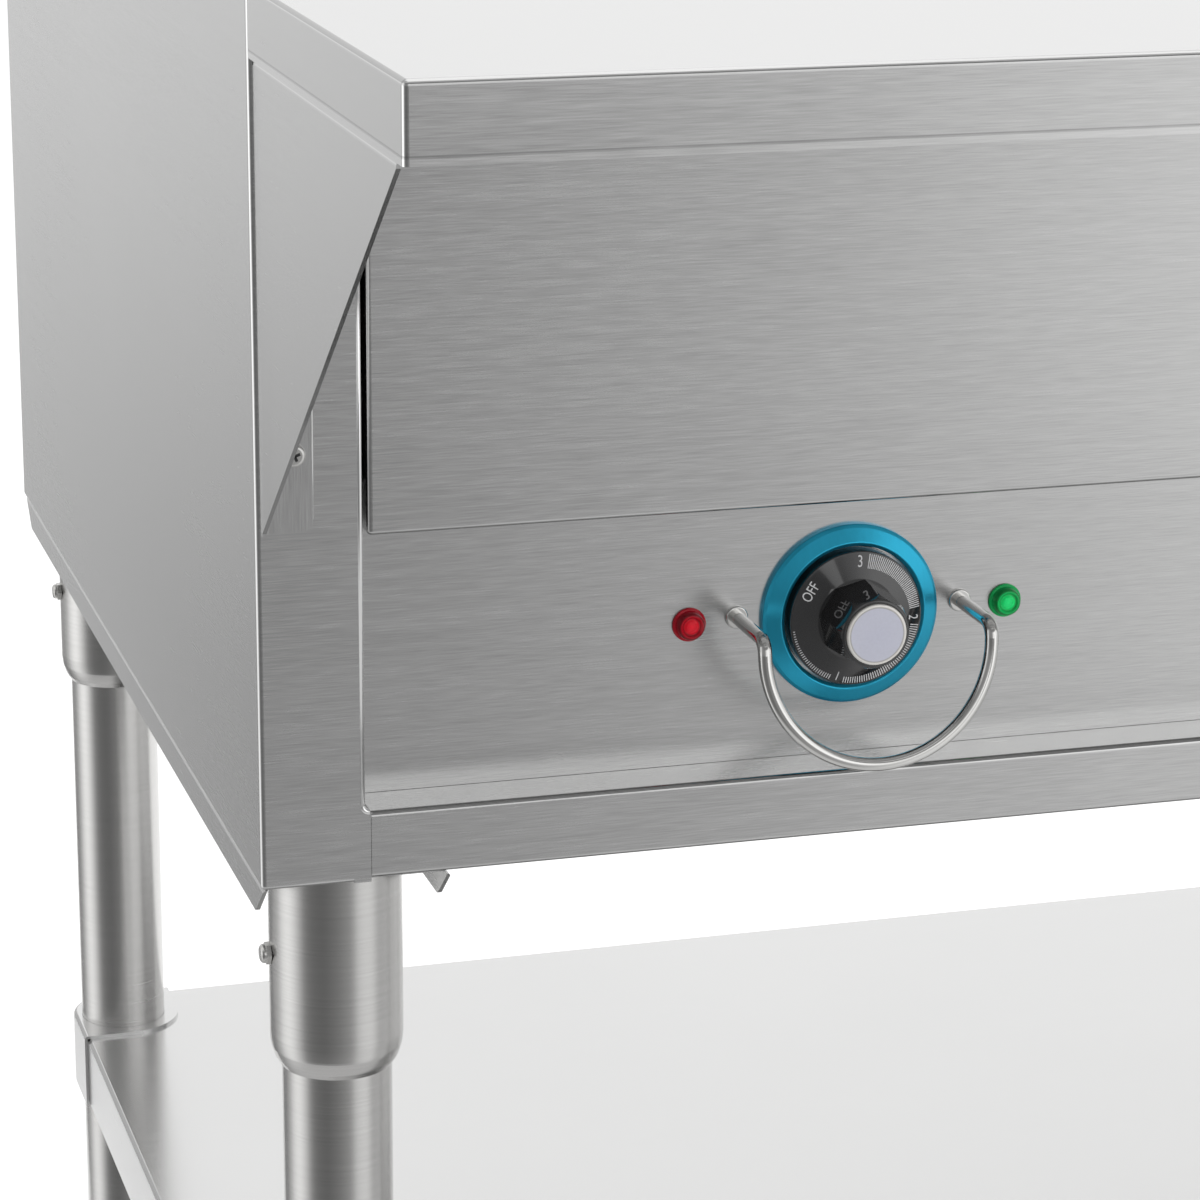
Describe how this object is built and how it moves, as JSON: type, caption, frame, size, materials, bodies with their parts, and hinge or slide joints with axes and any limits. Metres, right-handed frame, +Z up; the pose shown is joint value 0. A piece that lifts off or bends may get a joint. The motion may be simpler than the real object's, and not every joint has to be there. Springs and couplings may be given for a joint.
{
  "type": "electric steam table",
  "caption": "Free-standing electric food warmer table: open wells in a folded steel body, recessed knobs with wire guards, front work shelf, round legs and undershelf.",
  "frame": {"origin": "on the floor, under the middle of the table's plan", "axes": "+X to the right of someone at the controls, +Y from the controls to the back, +Z up"},
  "size_m": [0.812, 0.802, 0.87],
  "materials": {
    "bezel_blue": "anodised blue-green, glossy",
    "black_moulding": "matt",
    "brass_fittings": "machined",
    "bright_wire": "polished bright",
    "brushed_sheet": "horizontal brushed grain, satin",
    "cap_silver": "bright satin",
    "cast_insert": "cast",
    "fasteners": "turned, bright",
    "galvanised_sheet": "galvanised, matt",
    "heater_sheath": "dark oxide, matt",
    "knob_black": "gloss, printed white dial marks",
    "leg_tube": "grain round the tube, satin",
    "lens_green": "clear moulded, facetted inside",
    "lens_red": "clear moulded, facetted inside",
    "mineral_wool": "fibrous, matt",
    "regulator_body": "phenolic, matt",
    "side_sheet": "fine satin grain",
    "terminal_ceramic": "glazed, off-white",
    "well_steel": "satin, slightly scaled by water",
    "wire_sleeve": "silicone rubber, matt"
  },
  "bodies": {
    "table": {"bezel_ring_1": "bezel_blue", "bezel_ring_2": "bezel_blue", "bottom_panel": "brushed_sheet", "bracket_screws": "fasteners", "cable_gland": "black_moulding", "control_panel": "brushed_sheet", "element_fittings": "brass_fittings", "element_supports": "well_steel", "energy_regulator_1": "regulator_body", "energy_regulator_2": "regulator_body", "front_rail": "brushed_sheet", "gland_nut": "black_moulding", "green_lamp_lenses": "lens_green", "guard_nuts": "fasteners", "heat_shield": "galvanised_sheet", "heating_element_1": "heater_sheath", "heating_element_2": "heater_sheath", "knob_guard_1": "bright_wire", "knob_guard_2": "bright_wire", "leg_channel_left": "brushed_sheet", "leg_channel_right": "brushed_sheet", "leg_front_left": "leg_tube", "leg_front_right": "leg_tube", "leg_inserts": "cast_insert", "leg_rear_left": "leg_tube", "leg_rear_right": "leg_tube", "leg_set_screws": "fasteners", "leg_sockets": "leg_tube", "panel_screws": "fasteners", "pilot_lamp_bodies": "black_moulding", "rear_panel": "brushed_sheet", "red_lamp_lenses": "lens_red", "regulator_screws": "fasteners", "shelf_bracket_left": "brushed_sheet", "shelf_bracket_right": "brushed_sheet", "shelf_corner_plates": "brushed_sheet", "shelf_set_screws": "fasteners", "shelf_stiffeners": "brushed_sheet", "side_panel_left": "side_sheet", "side_panel_right": "side_sheet", "terminal_block": "terminal_ceramic", "top_deck": "brushed_sheet", "undershelf": "brushed_sheet", "upper_front_panel": "brushed_sheet", "well_insulation_1": "mineral_wool", "well_insulation_2": "mineral_wool", "well_liner_1": "well_steel", "well_liner_2": "well_steel", "wiring": "wire_sleeve", "work_shelf": "brushed_sheet"},
    "knob_1": {"knob_1": "knob_black", "knob_cap_1": "cap_silver", "regulator_shaft_1": "fasteners"},
    "knob_2": {"knob_2": "knob_black", "knob_cap_2": "cap_silver", "regulator_shaft_2": "fasteners"},
    "foot_front_left": {"foot_front_left": "leg_tube"},
    "foot_front_right": {"foot_front_right": "leg_tube"},
    "foot_rear_left": {"foot_rear_left": "leg_tube"},
    "foot_rear_right": {"foot_rear_right": "leg_tube"}
  },
  "joints": [
    {"name": "knob_1_turn", "type": "hinge", "parent": "table", "child": "knob_1", "pos_m": [-0.1775, -0.1577, 0.627], "axis": [0, -1, 0], "range_deg": [0, 302]},
    {"name": "knob_2_turn", "type": "hinge", "parent": "table", "child": "knob_2", "pos_m": [0.1775, -0.1577, 0.627], "axis": [0, -1, 0], "range_deg": [0, 302]},
    {"name": "foot_front_left_screw", "type": "slide", "parent": "table", "child": "foot_front_left", "axis": [0, 0, -1], "range_m": [0, 0.025]},
    {"name": "foot_front_right_screw", "type": "slide", "parent": "table", "child": "foot_front_right", "axis": [0, 0, -1], "range_m": [0, 0.025]},
    {"name": "foot_rear_left_screw", "type": "slide", "parent": "table", "child": "foot_rear_left", "axis": [0, 0, -1], "range_m": [0, 0.025]},
    {"name": "foot_rear_right_screw", "type": "slide", "parent": "table", "child": "foot_rear_right", "axis": [0, 0, -1], "range_m": [0, 0.025]}
  ]
}
